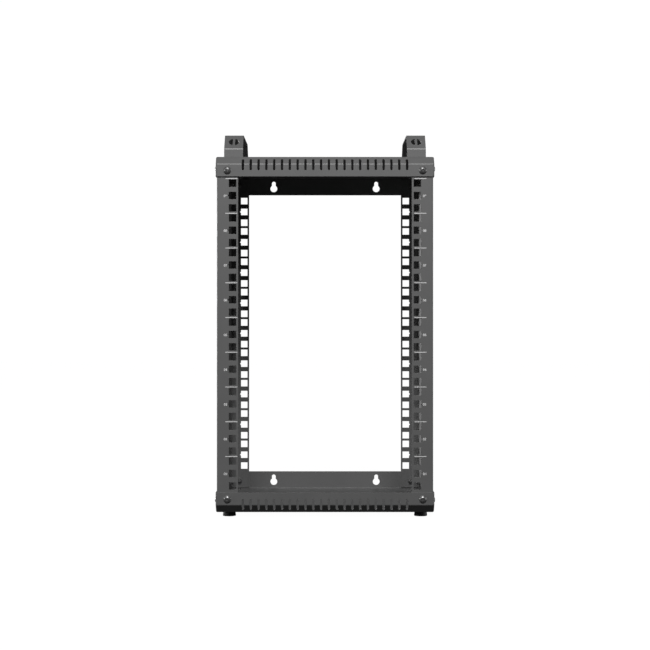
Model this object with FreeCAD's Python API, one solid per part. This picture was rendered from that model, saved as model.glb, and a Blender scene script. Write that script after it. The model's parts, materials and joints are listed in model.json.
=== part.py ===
import FreeCAD, Part
import math
import os

from FreeCAD import Vector

# Open-frame rack for ten-inch equipment, in millimetres.
# +X is the viewer's right, the front faces -Y, and the feet stand on z = 0.

# Equipment pattern punched in the posts
unit_count = 9
clear_opening = 222.25      # between the inner edges of a left and a right post
hole_inset = 7.1375         # post's inner edge to the hole centres
hole_edge = 6.35            # end of a unit to its first hole centre
hole_pitch = 15.875         # between the three holes of a unit
square_hole = 9.5
nick_radius = 1.2           # half-round mark in the side of each middle hole

# Folded sheet
sheet = 1.5
bend = 2.0                  # outer radius of each fold
end_gap = 2.175             # spare height between the units and a tray

# Posts
post_face = 27.375
post_flange = 74.0
post_gap = 1.0              # post's end to a tray's plate
slope_gap = 2.0             # front post's face to the tray's upper or lower fold

# Trays
frame_depth = 300.0
tray_height = 26.0
tray_slope = 10.0           # height and depth of the sloping front edge
tray_corner = 2.5           # rounding of the skirts' free corners
seam = 0.3                  # open corner between two skirts
vent_width = 3.0
vent_pitch = 10.0
vent_climb = 9.4            # from the fold, up the slope
vent_drop = 8.1             # from the fold, down the skirt
vent_margin = 32.0          # plain stretch at each end of the row

# Keyholes for a wall, in the rear skirts
keyhole_spacing = 150.0
keyhole_diameter = 10.0
keyhole_neck = 5.5
keyhole_rise = 7.6          # big hole's centre to the neck's end centre
keyhole_edge = 12.3         # skirt's free edge to the keyhole's middle

# Frame screws, with pan heads, in threaded collars drawn from the posts
screw_diameter = 5.0
screw_head = 9.6
screw_head_height = 3.4
screw_length = 8.0
screw_play = 0.5            # clearance hole, over the screw's diameter
thread_play = 0.1           # threaded hole, over the screw's diameter
collar_wall = 1.1
collar_height = 1.3         # how far a collar stands out of its sheet
corner_screw_inset = 15.0   # frame's side to the front and rear screws
side_screw_inset = 37.0     # frame's front or rear to the side screws

# Form of every pan head and shank, as shares of the screw's own sizes
rim_share = 0.3             # straight rim, of the head's height
tip_share = 0.12            # chamfer of the shank's end, of its diameter
cross_reach_share = 0.26    # cross recess, centre to the end of an arm, of the head's diameter
cross_slot_share = 0.13     # width of an arm, of the head's diameter
cross_depth_share = 0.62    # of the head's height
cross_floor_share = 0.35    # arm's reach at the recess's floor, of its reach at the top

# Carrying handles
handle_width = 25.0
handle_thickness = 2.0
handle_length = 149.0       # over the two legs
handle_height = 37.6
handle_slope = 19.8         # height and length of each sloping corner
handle_foot = 18.0
handle_bend = 3.0
handle_inset = 18.75        # frame's side to the handle's middle
grip_hole = 13.5            # round hole in the front slope
grip_bridge = 3.2           # strip left standing across that hole
handle_bolt_length = 10.0

# Flange nuts under the handles
nut_across = 8.0
nut_height = 5.0
nut_flange = 11.8
nut_flange_height = 1.0

# Rubber feet, each on a screw in a threaded collar drawn from the bottom tray
foot_height = 6.8
foot_bottom = 17.3
foot_top = 15.6
foot_edge = 0.8
foot_recess = 9.4
foot_recess_depth = 3.3
foot_inset_x = 16.0
foot_inset_y = 30.0
foot_screw_diameter = 4.0
foot_screw_head = 8.0
foot_screw_head_height = 2.6
foot_screw_length = 6.0

# Worked out from the sizes above
unit_height = 2 * (hole_edge + hole_pitch)
post_outside = clear_opening / 2 + post_face
half_width = post_outside + sheet
half_depth = frame_depth / 2
inner_height = unit_count * unit_height + 2 * end_gap
frame_bottom = foot_height
frame_top = frame_bottom + inner_height + 2 * tray_height
frame_middle = (frame_bottom + frame_top) / 2
front_screw_drop = (tray_slope + tray_height) / 2   # plate to the middle of the front skirt
other_screw_drop = tray_height / 2                  # plate to the middle of the other skirts
foot_at_x = half_width - foot_inset_x
foot_at_y = half_depth - foot_inset_y
handle_at_x = half_width - handle_inset
handle_bolt_at_y = handle_length / 2 + handle_foot / 2
corner_screw_at_x = half_width - corner_screw_inset
side_screw_at_y = half_depth - side_screw_inset
reach = 5.0                 # how far a cutting body runs past what it cuts

mirror_x = Vector(1, 0, 0)
mirror_y = Vector(0, 1, 0)
mirror_z = Vector(0, 0, 1)
centre = Vector(0, 0, 0)


def rounded_face(corners):
    # Flat face from a list of (point, radius); a radius of 0 leaves the corner sharp.
    starts, ends, arcs = [], [], []
    count = len(corners)
    for index, (point, radius) in enumerate(corners):
        to_last = (corners[index - 1][0] - point).normalize()
        to_next = (corners[(index + 1) % count][0] - point).normalize()
        if radius <= 0:
            starts.append(point)
            ends.append(point)
            arcs.append(None)
            continue
        half_turn = to_last.getAngle(to_next) / 2
        setback = radius / math.tan(half_turn)
        towards = (to_last + to_next).normalize()
        middle = point + towards * (radius / math.sin(half_turn) - radius)
        starts.append(point + to_last * setback)
        ends.append(point + to_next * setback)
        arcs.append(middle)
    edges = []
    for index in range(count):
        if arcs[index] is not None:
            edges.append(Part.Arc(starts[index], arcs[index], ends[index]).toShape())
        following = starts[(index + 1) % count]
        edges.append(Part.LineSegment(ends[index], following).toShape())
    return Part.Face(Part.Wire(edges))


def prism_along_x(points, x_from, x_to):
    # Solid from (y, z) or (y, z, radius) corners, run from one x to another.
    corners = [(Vector(x_from, p[0], p[1]), p[2] if len(p) > 2 else 0) for p in points]
    return rounded_face(corners).extrude(Vector(x_to - x_from, 0, 0))


def box_between(low, high):
    size = high - low
    return Part.makeBox(size.x, size.y, size.z, low)


def rod(diameter, start, along):
    return Part.makeCylinder(diameter / 2, along.Length, start, along)


def collar(thread, on_outside, inward):
    # Disc that stands out of a sheet's far side around a thread to be cut, from mid sheet.
    start = on_outside + inward * (sheet / 2)
    return rod(thread + 2 * collar_wall, start, inward * (sheet / 2 + collar_height))


def on_axis(shape, position, direction):
    # Turns a shape made along +Z to another direction and moves it there.
    placed = shape.copy()
    placed.Placement = FreeCAD.Placement(position, FreeCAD.Rotation(mirror_z, direction))
    return placed


def four_corners(x, y, z):
    return [Vector(side * x, end * y, z) for side in (-1, 1) for end in (-1, 1)]


def slope_line(inset, height):
    # y of the tray's sloping front edge, inset from its outer face, at a height.
    return -half_depth + tray_slope + inset * math.sqrt(2) + height


def tray_block(inset, low):
    # Closed block with the tray's outer form, or its hollow when inset by the sheet.
    kink = inset * math.tan(math.radians(22.5))
    radius = bend - inset
    front, rear, width = -half_depth + inset, half_depth - inset, half_width - inset
    plate_front = -half_depth + tray_slope + kink
    profile = [
        (front, low),
        (front, -tray_slope - kink, radius),
        (plate_front, -inset, radius),
        (rear, -inset, radius),
        (rear, low),
    ]
    block = prism_along_x(profile, -width, width)
    side_edges = []
    for edge in block.Edges:
        box = edge.BoundBox
        lies_on_plate = abs(box.ZMin + inset) < 1e-6 and box.ZLength < 1e-6
        if lies_on_plate and box.XLength < 1e-6:
            side_edges.append(edge)
    return block.makeFillet(radius, side_edges)


def vent_half(length):
    # Half of a vent slot, standing up from the fold line, with a round end.
    half = vent_width / 2
    straight = length - half
    start, end = Vector(-half, -reach, 0), Vector(half, -reach, 0)
    top_end, top_start = Vector(half, -reach, straight), Vector(-half, -reach, straight)
    edges = [
        Part.LineSegment(start, end).toShape(),
        Part.LineSegment(end, top_end).toShape(),
        Part.Arc(top_end, Vector(0, -reach, length), top_start).toShape(),
        Part.LineSegment(top_start, start).toShape(),
    ]
    return Part.Face(Part.Wire(edges)).extrude(Vector(0, reach + 2 * sheet, 0))


def vent_slots():
    # One row of slots, each running over the fold between the slope and the skirt.
    on_slope = vent_half(vent_climb)
    on_slope.rotate(centre, mirror_x, -45)
    on_skirt = vent_half(vent_drop).mirror(centre, mirror_z)
    slot = on_slope.fuse(on_skirt)
    slot.translate(Vector(0, -half_depth, -tray_slope))
    # The row is even about the middle, with as many slots as fit between the plain stretches.
    pairs = int((half_width - vent_margin - vent_width / 2) / vent_pitch + 0.5)
    slots = []
    for index in range(pairs):
        for side in (-1, 1):
            copy = slot.copy()
            copy.translate(Vector(side * (index + 0.5) * vent_pitch, 0, 0))
            slots.append(copy)
    return slots


def corner_seams(low):
    # Slits that part the side skirts from the front and rear skirts.
    near, far = sheet, sheet + seam
    kink_near = -tray_slope - near * math.tan(math.radians(22.5))
    kink_far = -tray_slope - far * math.tan(math.radians(22.5))
    front_slit = [
        (-half_depth + near, low),
        (-half_depth + near, kink_near),
        (slope_line(near, -bend), -bend),
        (slope_line(far, -bend), -bend),
        (-half_depth + far, kink_far),
        (-half_depth + far, low),
    ]
    rear_slit = [
        (half_depth - near, low),
        (half_depth - near, -bend),
        (half_depth - far, -bend),
        (half_depth - far, low),
    ]
    inside, outside = half_width - sheet, half_width + reach
    slits = [prism_along_x(slit, inside, outside) for slit in (front_slit, rear_slit)]
    return slits + [slit.mirror(centre, mirror_x) for slit in slits]


def corner_waste(corner, inward, through):
    # What rounding takes off a skirt's free corner: a square less a quarter round.
    upward = Vector(0, 0, tray_corner)
    hub = corner + inward + upward
    square = Part.Face(Part.makePolygon([corner, corner + inward, hub, corner + upward, corner]))
    disc = Part.Face(Part.Wire(Part.makeCircle(tray_corner, hub, through)))
    return square.cut(disc).extrude(through)


def tray_corners():
    # Rounding of the eight free skirt corners, two at each corner of the tray.
    low = -tray_height
    wastes = []
    for side in (-1, 1):
        for end in (-1, 1):
            flat = Vector(side * half_width, end * half_depth, low)
            across = Vector(-side * tray_corner, 0, 0)
            wastes.append(corner_waste(flat, across, Vector(0, -end * sheet, 0)))
            edge = Vector(side * half_width, end * (half_depth - sheet - seam), low)
            along = Vector(0, -end * tray_corner, 0)
            wastes.append(corner_waste(edge, along, Vector(-side * sheet, 0, 0)))
    return wastes


def tray_screw_holes():
    diameter = screw_diameter + screw_play
    holes = []
    for side in (-1, 1):
        front = Vector(side * corner_screw_at_x, -half_depth - reach, -front_screw_drop)
        rear = Vector(side * corner_screw_at_x, half_depth + reach, -other_screw_drop)
        holes.append(rod(diameter, front, Vector(0, 2 * reach, 0)))
        holes.append(rod(diameter, rear, Vector(0, -2 * reach, 0)))
        for end in (-1, 1):
            flank = Vector(side * (half_width + reach), end * side_screw_at_y, -other_screw_drop)
            holes.append(rod(diameter, flank, Vector(-side * 2 * reach, 0, 0)))
    return holes


def folded_tray():
    # Tray with its plate's outer face at z = 0 and its skirts hanging down.
    low = -tray_height
    tray = tray_block(0, low).cut(tray_block(sheet, low - reach))
    tools = vent_slots() + corner_seams(low - reach) + tray_corners() + tray_screw_holes()
    return tray.cut(tools)


def keyhole(x, middle_height):
    # Big round hole below, narrow neck above, through a rear skirt.
    overall = keyhole_diameter / 2 + keyhole_rise + keyhole_neck / 2
    big_centre = middle_height - overall / 2 + keyhole_diameter / 2
    start = Vector(x, half_depth - 2 * sheet, big_centre)
    through = Vector(0, 2 * sheet + reach, 0)
    neck = box_between(
        start - Vector(keyhole_neck / 2, 0, 0),
        start + through + Vector(keyhole_neck / 2, 0, keyhole_rise),
    )
    neck_end = rod(keyhole_neck, start + Vector(0, 0, keyhole_rise), through)
    return rod(keyhole_diameter, start, through).fuse([neck, neck_end])


def keyholes(middle_height):
    return [keyhole(side * keyhole_spacing / 2, middle_height) for side in (-1, 1)]


def make_top_tray():
    tray = folded_tray()
    tray.translate(Vector(0, 0, frame_top))
    bolt_holes = [
        rod(screw_diameter + screw_play, point, Vector(0, 0, 2 * reach))
        for point in four_corners(handle_at_x, handle_bolt_at_y, frame_top - reach)
    ]
    return tray.cut(bolt_holes + keyholes(frame_top - tray_height + keyhole_edge))


def make_bottom_tray():
    tray = folded_tray().mirror(centre, mirror_z)
    tray.translate(Vector(0, 0, frame_bottom))
    up = Vector(0, 0, 1)
    thread = foot_screw_diameter + thread_play
    collars, threads = [], []
    for point in four_corners(foot_at_x, foot_at_y, frame_bottom):
        collars.append(collar(thread, point, up))
        threads.append(rod(thread, point - up * reach, up * 3 * reach))
    return tray.fuse(collars).cut(threads + keyholes(frame_bottom + tray_height - keyhole_edge))


def square_holes():
    # Punched holes of one post on the right, at the front.
    x = clear_opening / 2 + hole_inset
    half = square_hole / 2
    y = -half_depth - reach
    through = Vector(0, 2 * reach + sheet, 0)
    units_bottom = frame_middle - unit_count * unit_height / 2
    holes = []
    for unit in range(unit_count):
        for row in range(3):
            z = units_bottom + unit * unit_height + hole_edge + row * hole_pitch
            hole = box_between(Vector(x - half, y, z - half), Vector(x + half, y, z + half) + through)
            if row == 1:
                hole = hole.fuse(rod(2 * nick_radius, Vector(x + half, y, z), through))
            holes.append(hole)
    return holes


def post_end_waste(height, direction):
    # Front post's end, cut square at the face and at 45 degrees on the flange.
    front = -half_depth + sheet
    end = height + direction * 2 * tray_slope
    corner = 2 * tray_slope
    waste = [
        (front - reach, height),
        (front + bend, height),
        (front + bend + corner, end),
        (front - reach, end),
    ]
    return prism_along_x(waste, 0, post_outside + reach)


def make_post(face_screw_drop, sloping_ends):
    # Angle section of the front right post; the others are its mirror images.
    low, high = frame_bottom + sheet + post_gap, frame_top - sheet - post_gap
    front, back = -half_depth + sheet, -half_depth + sheet + post_flange
    inner, outer = clear_opening / 2, post_outside
    section = rounded_face([
        (Vector(inner, front, low), 0),
        (Vector(outer, front, low), bend),
        (Vector(outer, back, low), 0),
        (Vector(outer - sheet, back, low), 0),
        (Vector(outer - sheet, front + sheet, low), bend - sheet),
        (Vector(inner, front + sheet, low), 0),
    ])
    post = section.extrude(Vector(0, 0, high - low))
    if sloping_ends:
        fold = inner_height / 2 + tray_height - tray_slope - slope_gap
        post = post.cut([post_end_waste(frame_middle + end * fold, end) for end in (-1, 1)])
    thread = screw_diameter + thread_play
    collars, threads = [], []
    for end in (-1, 1):
        plate = frame_middle + end * (inner_height / 2 + tray_height)
        face_screw = Vector(corner_screw_at_x, front, plate - end * face_screw_drop)
        flank_screw = Vector(outer, -side_screw_at_y, plate - end * other_screw_drop)
        for place, inward in ((face_screw, Vector(0, 1, 0)), (flank_screw, Vector(-1, 0, 0))):
            collars.append(collar(thread, place, inward))
            threads.append(rod(thread, place - inward * reach, inward * 3 * reach))
    return post.fuse(collars).cut(square_holes() + threads)


def strap_offset(points, distance):
    # Points of a bent strap's other face, a thickness to the right of its path.
    moved = []
    last = len(points) - 1
    for index, point in enumerate(points):
        before = points[max(index - 1, 0)]
        after = points[min(index + 1, last)]
        normals = []
        for start, end in ((before, point), (point, after)):
            run = math.dist(start, end)
            if run > 0:
                normals.append(((end[1] - start[1]) / run, (start[0] - end[0]) / run))
        total = (sum(n[0] for n in normals), sum(n[1] for n in normals))
        scale = len(normals) * distance / (total[0] ** 2 + total[1] ** 2)
        moved.append((point[0] + total[0] * scale, point[1] + total[1] * scale))
    return moved


def grip_opening():
    # Two openings in the front slope: a round hole with a strip left across its middle.
    away = Vector(0, -1, 1).normalize()
    middle = Vector(0, -(handle_length - handle_slope) / 2, handle_height - handle_slope / 2)
    hole = rod(grip_hole, middle - away * reach, away * 2 * reach)
    strip_corner = Vector(-grip_bridge / 2, -grip_hole, -2 * reach)
    strip = Part.makeBox(grip_bridge, 2 * grip_hole, 4 * reach, strip_corner)
    return hole.cut(on_axis(strip, middle, away))


def make_handle():
    # Bent strap standing on z = 0, with its middle over the origin.
    leg, slope, tip = handle_length / 2, handle_slope, handle_length / 2 + handle_foot
    thick, height = handle_thickness, handle_height
    upper = [
        (-tip, thick), (-leg, thick), (-leg, height - slope), (-leg + slope, height),
        (leg - slope, height), (leg, height - slope), (leg, thick), (tip, thick),
    ]
    lower = strap_offset(upper, thick)
    inner_bend = handle_bend - thick
    upper_radii = [0, inner_bend, handle_bend, handle_bend, handle_bend, handle_bend, inner_bend, 0]
    lower_radii = [0, handle_bend, inner_bend, inner_bend, inner_bend, inner_bend, handle_bend, 0]
    outline = [(y, z, r) for (y, z), r in zip(upper, upper_radii)]
    outline += reversed([(y, z, r) for (y, z), r in zip(lower, lower_radii)])
    strap = prism_along_x(outline, -handle_width / 2, handle_width / 2)
    tips = []
    for edge in strap.Edges:
        box = edge.BoundBox
        if box.XLength < 1e-6 and box.YLength < 1e-6 and abs(abs(box.YMin) - tip) < 1e-6:
            tips.append(edge)
    strap = strap.makeFillet(handle_bend, tips)
    bolt_holes = [
        rod(screw_diameter + screw_play, Vector(0, end * handle_bolt_at_y, -reach), Vector(0, 0, 2 * reach))
        for end in (-1, 1)
    ]
    return strap.cut([grip_opening()] + bolt_holes)


def revolved(profile):
    # Solid of revolution about Z from edges in the XZ plane that start and end on the axis.
    first = profile[0].Vertexes[0].Point
    last = profile[-1].Vertexes[-1].Point
    closing = Part.LineSegment(last, first).toShape()
    return Part.Face(Part.Wire(profile + [closing])).revolve(centre, mirror_z, 360)


def pan_screw(diameter, head, head_height, length):
    # Pan-head screw with a cross recess; the head's seat is z = 0 and the shank hangs down.
    radius, head_radius = diameter / 2, head / 2
    rim = rim_share * head_height
    tip = tip_share * diameter
    crown = head_height - rim
    dome = (head_radius ** 2 + crown ** 2) / (2 * crown)
    half_way = math.asin(head_radius / dome) / 2
    shoulder = Vector(dome * math.sin(half_way), 0, head_height - dome * (1 - math.cos(half_way)))
    corners = [
        Vector(0, 0, -length), Vector(radius - tip, 0, -length), Vector(radius, 0, -length + tip),
        Vector(radius, 0, 0), Vector(head_radius, 0, 0), Vector(head_radius, 0, rim),
    ]
    edges = [Part.LineSegment(a, b).toShape() for a, b in zip(corners, corners[1:])]
    edges.append(Part.Arc(corners[-1], shoulder, Vector(0, 0, head_height)).toShape())
    return revolved(edges).cut(cross_recess(head, head_height))


def cross_recess(head, head_height):
    # Two crossed bars that taper towards the recess's floor, below the head's crown.
    arm, slot = cross_reach_share * head, cross_slot_share * head
    depth = cross_depth_share * head_height
    floor = head_height - depth
    cone = Part.makeCone(cross_floor_share * arm, arm, depth, Vector(0, 0, floor))
    bar_x = Part.makeBox(2 * arm, slot, depth, Vector(-arm, -slot / 2, floor))
    bar_y = Part.makeBox(slot, 2 * arm, depth, Vector(-slot / 2, -arm, floor))
    return bar_x.fuse(bar_y).common(cone)


def hexagon(across, height):
    corner = across / math.sqrt(3)
    points = []
    for index in range(7):
        turn = index * math.pi / 3
        points.append(Vector(corner * math.cos(turn), corner * math.sin(turn), 0))
    return Part.Face(Part.makePolygon(points)).extrude(Vector(0, 0, height))


def flange_nut():
    # Nut on a round flange, seated at z = 0 and standing up.
    flange = Part.makeCylinder(nut_flange / 2, nut_flange_height)
    nut = hexagon(nut_across, nut_height).fuse(flange)
    return nut.cut(Part.makeCylinder((screw_diameter + thread_play) / 2, nut_height))


def make_foot():
    # Tapered rubber foot with a rounded lower edge and a recess for its screw head.
    bottom, top = foot_bottom / 2, foot_top / 2
    blank = Part.makeCone(bottom, top, foot_height)
    lower_edge = [edge for edge in blank.Edges if edge.BoundBox.ZMax < 1e-6]
    foot = blank.makeFillet(foot_edge, lower_edge)
    recess = Part.makeCylinder(foot_recess / 2, foot_recess_depth)
    hole = Part.makeCylinder((foot_screw_diameter + screw_play) / 2, foot_height)
    return foot.cut([recess, hole])


def copies(shape, places, direction):
    return Part.makeCompound([on_axis(shape, place, direction) for place in places])


def frame_screws(places, direction):
    screw = pan_screw(screw_diameter, screw_head, screw_head_height, screw_length)
    return copies(screw, places, direction)


def end_screws(end, height):
    # The two screws of a front or rear skirt.
    places = [Vector(side * corner_screw_at_x, end * half_depth, height) for side in (-1, 1)]
    return frame_screws(places, Vector(0, end, 0))


def side_screws(side, height):
    places = [Vector(side * half_width, end * side_screw_at_y, height) for end in (-1, 1)]
    return frame_screws(places, Vector(side, 0, 0))


def handle_bolts(side):
    bolt = pan_screw(screw_diameter, screw_head, screw_head_height, handle_bolt_length)
    top = frame_top + handle_thickness
    places = [Vector(side * handle_at_x, end * handle_bolt_at_y, top) for end in (-1, 1)]
    return copies(bolt, places, mirror_z)


def handle_nuts(side):
    under = frame_top - sheet
    places = [Vector(side * handle_at_x, end * handle_bolt_at_y, under) for end in (-1, 1)]
    return copies(flange_nut(), places, Vector(0, 0, -1))


def foot_screws(end):
    screw = pan_screw(foot_screw_diameter, foot_screw_head, foot_screw_head_height, foot_screw_length)
    places = [Vector(side * foot_at_x, end * foot_at_y, foot_recess_depth) for side in (-1, 1)]
    return copies(screw, places, Vector(0, 0, -1))


def add_trays(parts):
    parts["top_tray"] = make_top_tray()
    parts["bottom_tray"] = make_bottom_tray()


def add_posts(parts):
    front = make_post(front_screw_drop, True)
    rear = make_post(other_screw_drop, False).mirror(centre, mirror_y)
    parts["front_right_post"] = front
    parts["front_left_post"] = front.mirror(centre, mirror_x)
    parts["rear_right_post"] = rear
    parts["rear_left_post"] = rear.mirror(centre, mirror_x)


def add_handles(parts):
    for side, name in ((-1, "left"), (1, "right")):
        handle = make_handle()
        handle.translate(Vector(side * handle_at_x, 0, frame_top))
        parts[name + "_handle"] = handle
        parts[name + "_handle_bolts"] = handle_bolts(side)
        parts[name + "_handle_nuts"] = handle_nuts(side)


def add_feet(parts):
    for end, place in ((-1, "front"), (1, "rear")):
        for side, name in ((-1, "left"), (1, "right")):
            foot = make_foot()
            foot.translate(Vector(side * foot_at_x, end * foot_at_y, 0))
            parts[f"{place}_{name}_foot"] = foot
        parts[f"{place}_foot_screws"] = foot_screws(end)


def add_frame_screws(parts):
    for end, name in ((-1, "bottom"), (1, "top")):
        plate = frame_middle + end * (inner_height / 2 + tray_height)
        front_height = plate - end * front_screw_drop
        other_height = plate - end * other_screw_drop
        parts[name + "_front_screws"] = end_screws(-1, front_height)
        parts[name + "_rear_screws"] = end_screws(1, other_height)
        parts[name + "_left_screws"] = side_screws(-1, other_height)
        parts[name + "_right_screws"] = side_screws(1, other_height)


def main():
    parts = {}
    add_trays(parts)
    add_posts(parts)
    add_handles(parts)
    add_feet(parts)
    add_frame_screws(parts)
    os.makedirs("parts", exist_ok=True)
    for name, shape in parts.items():
        shape.exportStep(f"parts/{name}.step")
        print(f"{name}: {len(shape.Solids)} solid(s), {shape.Volume:.0f} mm3, valid {shape.isValid()}")


main()
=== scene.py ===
import bmesh
import bpy
import json
import math
from mathutils import Matrix, Vector


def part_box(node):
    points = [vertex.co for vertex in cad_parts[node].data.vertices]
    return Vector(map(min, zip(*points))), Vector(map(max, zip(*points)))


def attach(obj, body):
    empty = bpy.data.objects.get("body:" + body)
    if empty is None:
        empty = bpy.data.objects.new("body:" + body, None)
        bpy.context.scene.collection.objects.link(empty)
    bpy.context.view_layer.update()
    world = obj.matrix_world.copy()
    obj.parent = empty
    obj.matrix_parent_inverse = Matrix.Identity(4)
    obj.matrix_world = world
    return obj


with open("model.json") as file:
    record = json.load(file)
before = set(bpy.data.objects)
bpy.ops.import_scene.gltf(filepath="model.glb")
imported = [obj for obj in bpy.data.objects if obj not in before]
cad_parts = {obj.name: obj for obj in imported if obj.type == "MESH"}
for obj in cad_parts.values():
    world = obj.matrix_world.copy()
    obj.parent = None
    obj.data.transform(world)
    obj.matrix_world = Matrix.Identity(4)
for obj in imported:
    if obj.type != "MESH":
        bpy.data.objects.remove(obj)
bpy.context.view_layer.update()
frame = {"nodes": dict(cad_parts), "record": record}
nodes = frame["nodes"]
mm = 0.001
print("frame loaded:", len(nodes), "nodes")

bpy.context.scene.view_settings.view_transform = "Standard"


# Shader maths: a wire is one socket, and an expression on wires adds its nodes

class Wire:
    def __init__(self, shader, socket):
        self.shader = shader
        self.socket = socket

    def maths(self, operation, first, second):
        return self.shader.node("ShaderNodeMath", {"operation": operation}, {0: first, 1: second})

    def __add__(self, other):
        return self.maths("ADD", self, other)

    def __radd__(self, other):
        return self.maths("ADD", other, self)

    def __sub__(self, other):
        return self.maths("SUBTRACT", self, other)

    def __rsub__(self, other):
        return self.maths("SUBTRACT", other, self)

    def __mul__(self, other):
        return self.maths("MULTIPLY", self, other)

    def __rmul__(self, other):
        return self.maths("MULTIPLY", other, self)

    def __truediv__(self, other):
        return self.maths("DIVIDE", self, other)

    def __rtruediv__(self, other):
        return self.maths("DIVIDE", other, self)


class Shader:
    def __init__(self, owner):
        owner.use_nodes = True
        self.tree = owner.node_tree
        self.tree.nodes.clear()

    def node(self, kind, settings=None, sockets=None, output=0):
        made = self.tree.nodes.new(kind)
        for name, value in (settings or {}).items():
            setattr(made, name, value)
        for name, value in (sockets or {}).items():
            if isinstance(value, Wire):
                self.tree.links.new(value.socket, made.inputs[name])
            else:
                made.inputs[name].default_value = value
        if made.outputs:
            return Wire(self, made.outputs[output])

    def where(self):
        return self.node("ShaderNodeTexCoord", None, None, "Object")

    def noise(self, where, size, detail):        # size of the largest lumps, in metres
        return self.node("ShaderNodeTexNoise", None, {"Vector": where, "Scale": 1 / size, "Detail": detail})

    def blend(self, factor, first, second):
        # a colour between two others: the node's inputs 6 and 7 are its colours, and output 2 the result
        return self.node("ShaderNodeMix", {"data_type": "RGBA"}, {0: factor, 6: first, 7: second}, 2)

    def bump(self, height, distance, normal=None):
        sockets = {"Height": height, "Distance": distance}
        if normal:
            sockets["Normal"] = normal
        return self.node("ShaderNodeBump", None, sockets)

    def surface(self, shader, kind="ShaderNodeOutputMaterial"):
        self.node(kind, None, {"Surface": shader})

    def principled(self, sockets):
        self.surface(self.node("ShaderNodeBsdfPrincipled", None, sockets))


def grey(level):
    return (level, level, level, 1)


def newMaterial(name):
    material = bpy.data.materials.new(name)
    return material, Shader(material)


def mottle(shader, pattern, finish):
    # from the finish's darkest grey to its palest, by a pattern of 0 to 1
    darkest, palest = (grey(finish["tone"] * finish[end]) for end in ("darkest", "palest"))
    return shader.blend(pattern, darkest, palest)


def swing(pattern, width):
    # a pattern about a half, turned into a change about nothing
    return (pattern - 0.5) * width


# Powder coat: fine orange peel, a slow drift in tone and sheen, and edges made paler by a painted highlight
coat = {
    "tone": 0.095,
    "darkest": 0.94,             # shares of the tone
    "palest": 1.06,
    "drift": {"size": 45 * mm, "detail": 3.0},
    "grain": {"size": 0.22 * mm, "detail": 1.0},
    "peel": {"size": 0.9 * mm, "detail": 1.5},
    "driftShare": 0.7,           # of the change in tone, the rest being the grain's
    "peelDepth": 0.012 * mm,
    "roughness": 0.5,
    "roughnessDrift": 0.12,
    "roughnessGrain": 0.1,
    "specular": 1.0,
    "edgeRadius": 0.2 * mm,
    "edgeSamples": 6,
    "edgeGain": 4,               # of how far the rounded edge leans from the flat face
    # painted highlight on the edges: its share of the edge mask, and its pale grey
    "paintedEdgeHighlight": 0.08,
    "paintedHighlightTone": 1.8,             # times the tone
}


def makePowderCoat(name):
    material, shader = newMaterial(name)
    where = shader.where()
    drift = shader.noise(where, **coat["drift"])
    grain = shader.noise(where, **coat["grain"])
    peel = shader.noise(where, **coat["peel"])
    rounded = shader.node("ShaderNodeBevel", {"samples": coat["edgeSamples"]}, {"Radius": coat["edgeRadius"]})
    flat = shader.node("ShaderNodeNewGeometry", None, None, "Normal")
    together = shader.node("ShaderNodeVectorMath", {"operation": "DOT_PRODUCT"}, {0: rounded, 1: flat}, 1)
    edge = (1 - together) * coat["edgeGain"]
    tone = mottle(shader, drift * coat["driftShare"] + grain * (1 - coat["driftShare"]), coat)
    # painted highlight: the rounded edges are made paler in the base colour, standing in for light caught by
    # their rounding
    tone = shader.blend(edge * coat["paintedEdgeHighlight"], tone, grey(coat["tone"] * coat["paintedHighlightTone"]))
    sheen = coat["roughness"] + swing(drift, coat["roughnessDrift"]) + swing(grain, coat["roughnessGrain"])
    shader.principled({
        "Base Color": tone, "Roughness": sheen, "Normal": shader.bump(peel, coat["peelDepth"], rounded),
        "Specular IOR Level": coat["specular"],
    })
    return material


# Screws and nuts: zinc plating, slightly cloudy and scuffed
zinc = {
    "darkest": 0.75,
    "palest": 1.2,
    "cloud": {"size": 2.5 * mm, "detail": 3.0},
    "scuff": {"size": 0.4 * mm, "detail": 2.0},
    "scuffDepth": 0.01 * mm,
    "roughnessCloud": 0.2,
    "roughnessScuff": 0.1,
}
blackZinc = {**zinc, "tone": 0.22, "roughness": 0.38, "metal": 0.75}
brightZinc = {**zinc, "tone": 0.5, "roughness": 0.3, "metal": 1.0}


def makeZinc(name, plating):
    material, shader = newMaterial(name)
    where = shader.where()
    cloud = shader.noise(where, **plating["cloud"])
    scuff = shader.noise(where, **plating["scuff"])
    sheen = plating["roughness"] + swing(cloud, plating["roughnessCloud"])
    sheen = sheen + swing(scuff, plating["roughnessScuff"])
    shader.principled({
        "Base Color": mottle(shader, cloud, plating), "Roughness": sheen,
        "Normal": shader.bump(scuff, plating["scuffDepth"]), "Metallic": plating["metal"],
    })
    return material


# Moulded rubber
rubber = {
    "tone": 0.045,
    "darkest": 0.7,
    "palest": 1.6,
    "cloud": {"size": 4 * mm, "detail": 3.0},
    "grain": {"size": 0.35 * mm, "detail": 2.0},
    "grainDepth": 0.03 * mm,
    "roughness": 0.55,
    "roughnessCloud": 0.2,
}


def makeRubber(name):
    material, shader = newMaterial(name)
    where = shader.where()
    cloud = shader.noise(where, **rubber["cloud"])
    grain = shader.noise(where, **rubber["grain"])
    shader.principled({
        "Base Color": mottle(shader, cloud, rubber),
        "Roughness": rubber["roughness"] + swing(cloud, rubber["roughnessCloud"]),
        "Normal": shader.bump(grain, rubber["grainDepth"]),
    })
    return material


# Screen print: slightly grainy pale ink
ink = {
    "tone": 0.7,
    "darkest": 0.85,
    "palest": 1.15,
    "cloud": {"size": 0.5 * mm, "detail": 2.0},
    "roughness": 0.5,
    "roughnessCloud": 0.1,
}


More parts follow.
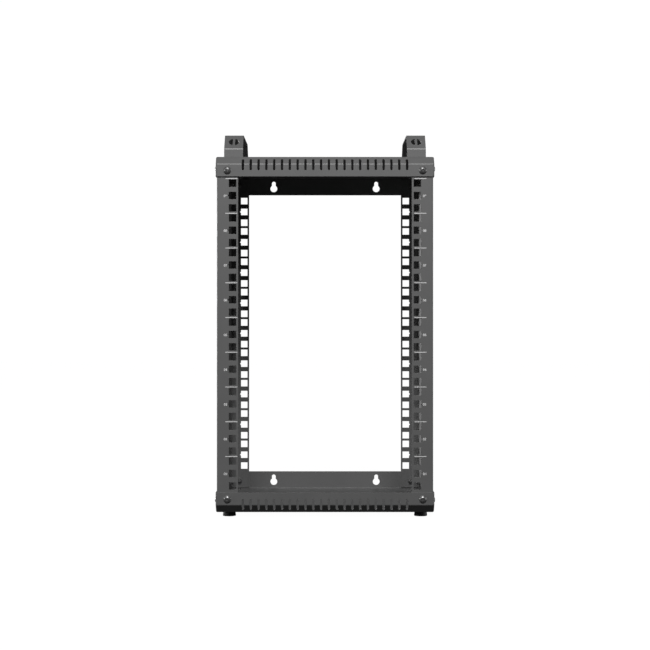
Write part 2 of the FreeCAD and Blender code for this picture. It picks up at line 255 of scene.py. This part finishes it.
def makeInk(name):
    material, shader = newMaterial(name)
    cloud = shader.noise(shader.where(), **ink["cloud"])
    shader.principled({
        "Base Color": mottle(shader, cloud, ink),
        "Roughness": ink["roughness"] + swing(cloud, ink["roughnessCloud"]),
    })
    return material


frameCoat = makePowderCoat("frameCoat")
screwZinc = makeZinc("screwZinc", blackZinc)
nutZinc = makeZinc("nutZinc", brightZinc)
footRubber = makeRubber("footRubber")
markInk = makeInk("markInk")
finishes = {
    "frame_paint": frameCoat,
    "black_screws": screwZinc,
    "zinc_nuts": nutZinc,
    "foot_rubber": footRubber,
}
for subpart in frame["record"]["subparts"]:
    mesh = nodes[subpart["node"]].data
    mesh.materials.clear()
    mesh.materials.append(finishes[subpart["material_slot"]])
print("materials on", len(finishes), "slots")


def newPiece(name, bm, material):
    mesh = bpy.data.meshes.new(name)
    bm.to_mesh(mesh)
    bm.free()
    mesh.materials.append(material)
    piece = bpy.data.objects.new(name, mesh)
    bpy.context.scene.collection.objects.link(piece)
    return piece


# Unit marks: a line over each unit and its number beside the middle hole
marks = {
    "units": 9,
    "unitHeight": 44.45 * mm,
    "lineMiddles": {-1: -119.8 * mm, 1: 122.1 * mm},    # from the middle of the rack, by side
    "lineLength": 15.4 * mm,
    "lineHeight": 0.9 * mm,
    "numberAt": 127.4 * mm,
    "numberHeight": 3.2 * mm,
    "numberWidth": 4.3 * mm,
    "drop": 0.45 * mm,           # of the print under the holes' own spacing
    "strokeSpread": 0.1 * mm,    # added all round the strokes
    "inkDepth": 0.03 * mm,
}


def numberMesh(text):
    # flat outline of a number, centred, at the marks' height and width, facing -Y
    curve = bpy.data.curves.new("number", "FONT")
    curve.body = text
    curve.offset = marks["strokeSpread"] / marks["numberHeight"]
    holder = bpy.data.objects.new("number", curve)
    bpy.context.scene.collection.objects.link(holder)
    bpy.context.view_layer.update()
    mesh = bpy.data.meshes.new_from_object(holder)
    bpy.data.objects.remove(holder)
    xs = [vertex.co.x for vertex in mesh.vertices]
    ys = [vertex.co.y for vertex in mesh.vertices]
    middle = Vector(((min(xs) + max(xs)) / 2, (min(ys) + max(ys)) / 2, 0))
    wide = marks["numberWidth"] / (max(xs) - min(xs))
    tall = marks["numberHeight"] / (max(ys) - min(ys))
    mesh.transform(Matrix.Translation(-middle))
    mesh.transform(Matrix.Diagonal((wide, tall, 1, 1)))
    mesh.transform(Matrix.Rotation(math.radians(90), 4, "X"))
    return mesh


def addInk(bm, low, high):
    # flat bar in the XZ plane
    corners = [(low.x, low.z), (high.x, low.z), (high.x, high.z), (low.x, high.z)]
    bm.faces.new([bm.verts.new((x, 0, z)) for x, z in corners])


def makeMarks(name, side, facing):
    # facing is -1 on a front post and 1 on a rear one, whose marks read from behind
    low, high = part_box(name)
    middle = (low.z + high.z) / 2
    bottom = middle - marks["units"] * marks["unitHeight"] / 2
    bm = bmesh.new()
    for unit in range(marks["units"]):
        top = bottom + (unit + 1) * marks["unitHeight"] - marks["drop"]
        line = Vector((marks["lineMiddles"][side], 0, top))
        half = Vector((marks["lineLength"], 0, marks["lineHeight"])) / 2
        addInk(bm, line - half, line + half)
        number = numberMesh(f"{unit + 1:02d}")
        if facing > 0:
            number.transform(Matrix.Rotation(math.radians(180), 4, "Z"))
        at = Vector((side * marks["numberAt"], 0, top - marks["unitHeight"] / 2))
        number.transform(Matrix.Translation(at))
        bm.from_mesh(number)
        bpy.data.meshes.remove(number)
    face = low.y if facing < 0 else high.y
    for vert in bm.verts:
        vert.co.y = face + facing * marks["inkDepth"]
    piece = newPiece(name + "_marks", bm, markInk)
    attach(piece, "root")


for name, side, facing in (
    ("front_left_post", -1, -1), ("front_right_post", 1, -1),
    ("rear_left_post", -1, 1), ("rear_right_post", 1, 1),
):
    makeMarks(name, side, facing)
print("unit marks on four posts")


# Threads: a helical ridge on each frame screw's bare end, behind the collar that it is driven into
threads = {
    "radius": 2.5 * mm,
    "rise": 0.16 * mm,
    "pitch": 0.8 * mm,
    "length": 2.9 * mm,
    "tip": 0.7 * mm,             # chamfered end without a thread
    "headRadius": 4.8 * mm,
    "steps": 28,                 # round one turn
    "profile": ((-0.45, 0), (-0.06, 1), (0.06, 1), (0.45, 0)),    # shares of the pitch and of the rise
}


def addRidge(bm, end, inward, side, up):
    # inward points along the screw to its bare end; side and up span the plane across it
    rows = []
    turns = threads["length"] / threads["pitch"]
    for step in range(round(turns * threads["steps"]) + 1):
        angle = 2 * math.pi * step / threads["steps"]
        outward = side * math.cos(angle) + up * math.sin(angle)
        middle = end - inward * (threads["tip"] + threads["pitch"] * step / threads["steps"])
        row = []
        for along, rise in threads["profile"]:
            distance = threads["radius"] + rise * threads["rise"]
            row.append(bm.verts.new(middle + outward * distance + inward * along * threads["pitch"]))
        rows.append(row)
    for before, after in zip(rows, rows[1:]):
        for low in range(len(threads["profile"]) - 1):
            bm.faces.new((before[low], before[low + 1], after[low + 1], after[low]))


def makeThreads(name, axis, outside):
    # axis is the screws' own, 0 or 1; outside is the side of the rack that their heads are on
    low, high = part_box(name)
    across = 1 - axis
    inward, side = Vector((0, 0, 0)), Vector((0, 0, 0))
    inward[axis] = -outside
    side[across] = 1
    bm = bmesh.new()
    for place in (low[across] + threads["headRadius"], high[across] - threads["headRadius"]):
        end = Vector((0, 0, (low.z + high.z) / 2))
        end[axis] = low[axis] if outside > 0 else high[axis]
        end[across] = place
        addRidge(bm, end, inward, side, Vector((0, 0, 1)))
    bmesh.ops.recalc_face_normals(bm, faces=bm.faces)
    piece = newPiece(name + "_threads", bm, screwZinc)
    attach(piece, "root")


for height in ("bottom", "top"):
    for face, axis, outside in (("front", 1, -1), ("rear", 1, 1), ("left", 0, -1), ("right", 0, 1)):
        makeThreads(f"{height}_{face}_screws", axis, outside)
print("threads on the frame screws")


# Floor and backdrop: white to the camera, with the rack's shadow kept
studio = {
    "floorRadius": 9.0,
    "floorSides": 96,
    "floorTone": 0.05,
    "nearGlow": 0.985,           # beside the rack, where its shadow shows
    "nearReach": 0.3,
    "farReach": 1.1,
    "mirrored": 0.03,            # share of the white that reflections see
    "ambient": 0.02,
}


def backdropRays(shader):
    # 1 for what the camera sees straight or through something, and a share of it for reflections
    seen, mirrored, through = (
        shader.node("ShaderNodeLightPath", None, None, f"Is {kind} Ray")
        for kind in ("Camera", "Glossy", "Transmission")
    )
    return seen + through + mirrored * studio["mirrored"]


def makeFloor():
    material, shader = newMaterial("paleFloor")
    away = shader.node("ShaderNodeVectorMath", {"operation": "LENGTH"}, {0: shader.where()}, 1)
    reach = (away - studio["nearReach"]) / (studio["farReach"] - studio["nearReach"])
    glow = shader.blend(reach, grey(studio["nearGlow"]), grey(1))
    plain = shader.node("ShaderNodeBsdfDiffuse", None, {"Color": grey(studio["floorTone"])})
    light = shader.node("ShaderNodeEmission", None, {"Color": glow, "Strength": backdropRays(shader)})
    shader.surface(shader.node("ShaderNodeAddShader", None, {0: plain, 1: light}))
    bm = bmesh.new()
    bmesh.ops.create_circle(bm, cap_ends=True, segments=studio["floorSides"], radius=studio["floorRadius"])
    floor = newPiece("floor", bm, material)


def makeBackdrop():
    world = bpy.data.worlds.new("studio")
    bpy.context.scene.world = world
    shader = Shader(world)
    strength = backdropRays(shader) + studio["ambient"]
    background = shader.node("ShaderNodeBackground", None, {"Color": grey(1), "Strength": strength})
    shader.surface(background, "ShaderNodeOutputWorld")


makeFloor()
makeBackdrop()


# Lamps: one high in front, a weak one on each side, and one behind, so low that the tray's rear skirt keeps
# it off the tray
lamps = {
    "key": {"azimuth": 0, "elevation": 43, "distance": 3.6, "size": (1.0, 0.7), "level": 0.96},
    "left": {"azimuth": -72, "elevation": 6, "distance": 3.0, "size": (0.6, 1.0), "level": 0.15},
    "right": {"azimuth": 95, "elevation": 5, "distance": 3.0, "size": (1.2, 0.8), "level": 0.2},
    "back": {"azimuth": -130, "elevation": 5, "distance": 3.0, "size": (1.2, 0.4), "level": 0.5},
}
lampTarget = Vector((0, 0, 0.24))


def makeLamp(name, lamp):
    # azimuth turns from the front (-Y) towards +X; a level of 1 lights a facing surface fully
    turn, rise = math.radians(lamp["azimuth"]), math.radians(lamp["elevation"])
    away = Vector((math.sin(turn) * math.cos(rise), -math.cos(turn) * math.cos(rise), math.sin(rise)))
    data = bpy.data.lights.new(name, "AREA")
    data.shape = "RECTANGLE"
    data.size, data.size_y = lamp["size"]
    data.energy = lamp["level"] * math.pi ** 2 * lamp["distance"] ** 2
    light = bpy.data.objects.new(name, data)
    light.location = lampTarget + away * lamp["distance"]
    light.rotation_euler = away.to_track_quat("Z", "Y").to_euler()
    light.visible_camera = False
    bpy.context.scene.collection.objects.link(light)


for name, lamp in lamps.items():
    makeLamp(name, lamp)

# Camera: level, straight on, at the photo's distance; metres, with the lens and sensor in millimetres
view = {"distance": 2.1915, "height": 0.2472, "lens": 88.45, "sensor": 36.0}
cameraData = bpy.data.cameras.new("camera")
cameraData.lens = view["lens"]
cameraData.sensor_width = view["sensor"]
camera = bpy.data.objects.new("camera", cameraData)
camera.location = (0, -view["distance"], view["height"])
camera.rotation_euler = (math.radians(90), 0, 0)
bpy.context.scene.collection.objects.link(camera)
bpy.context.scene.camera = camera
print("studio ready")
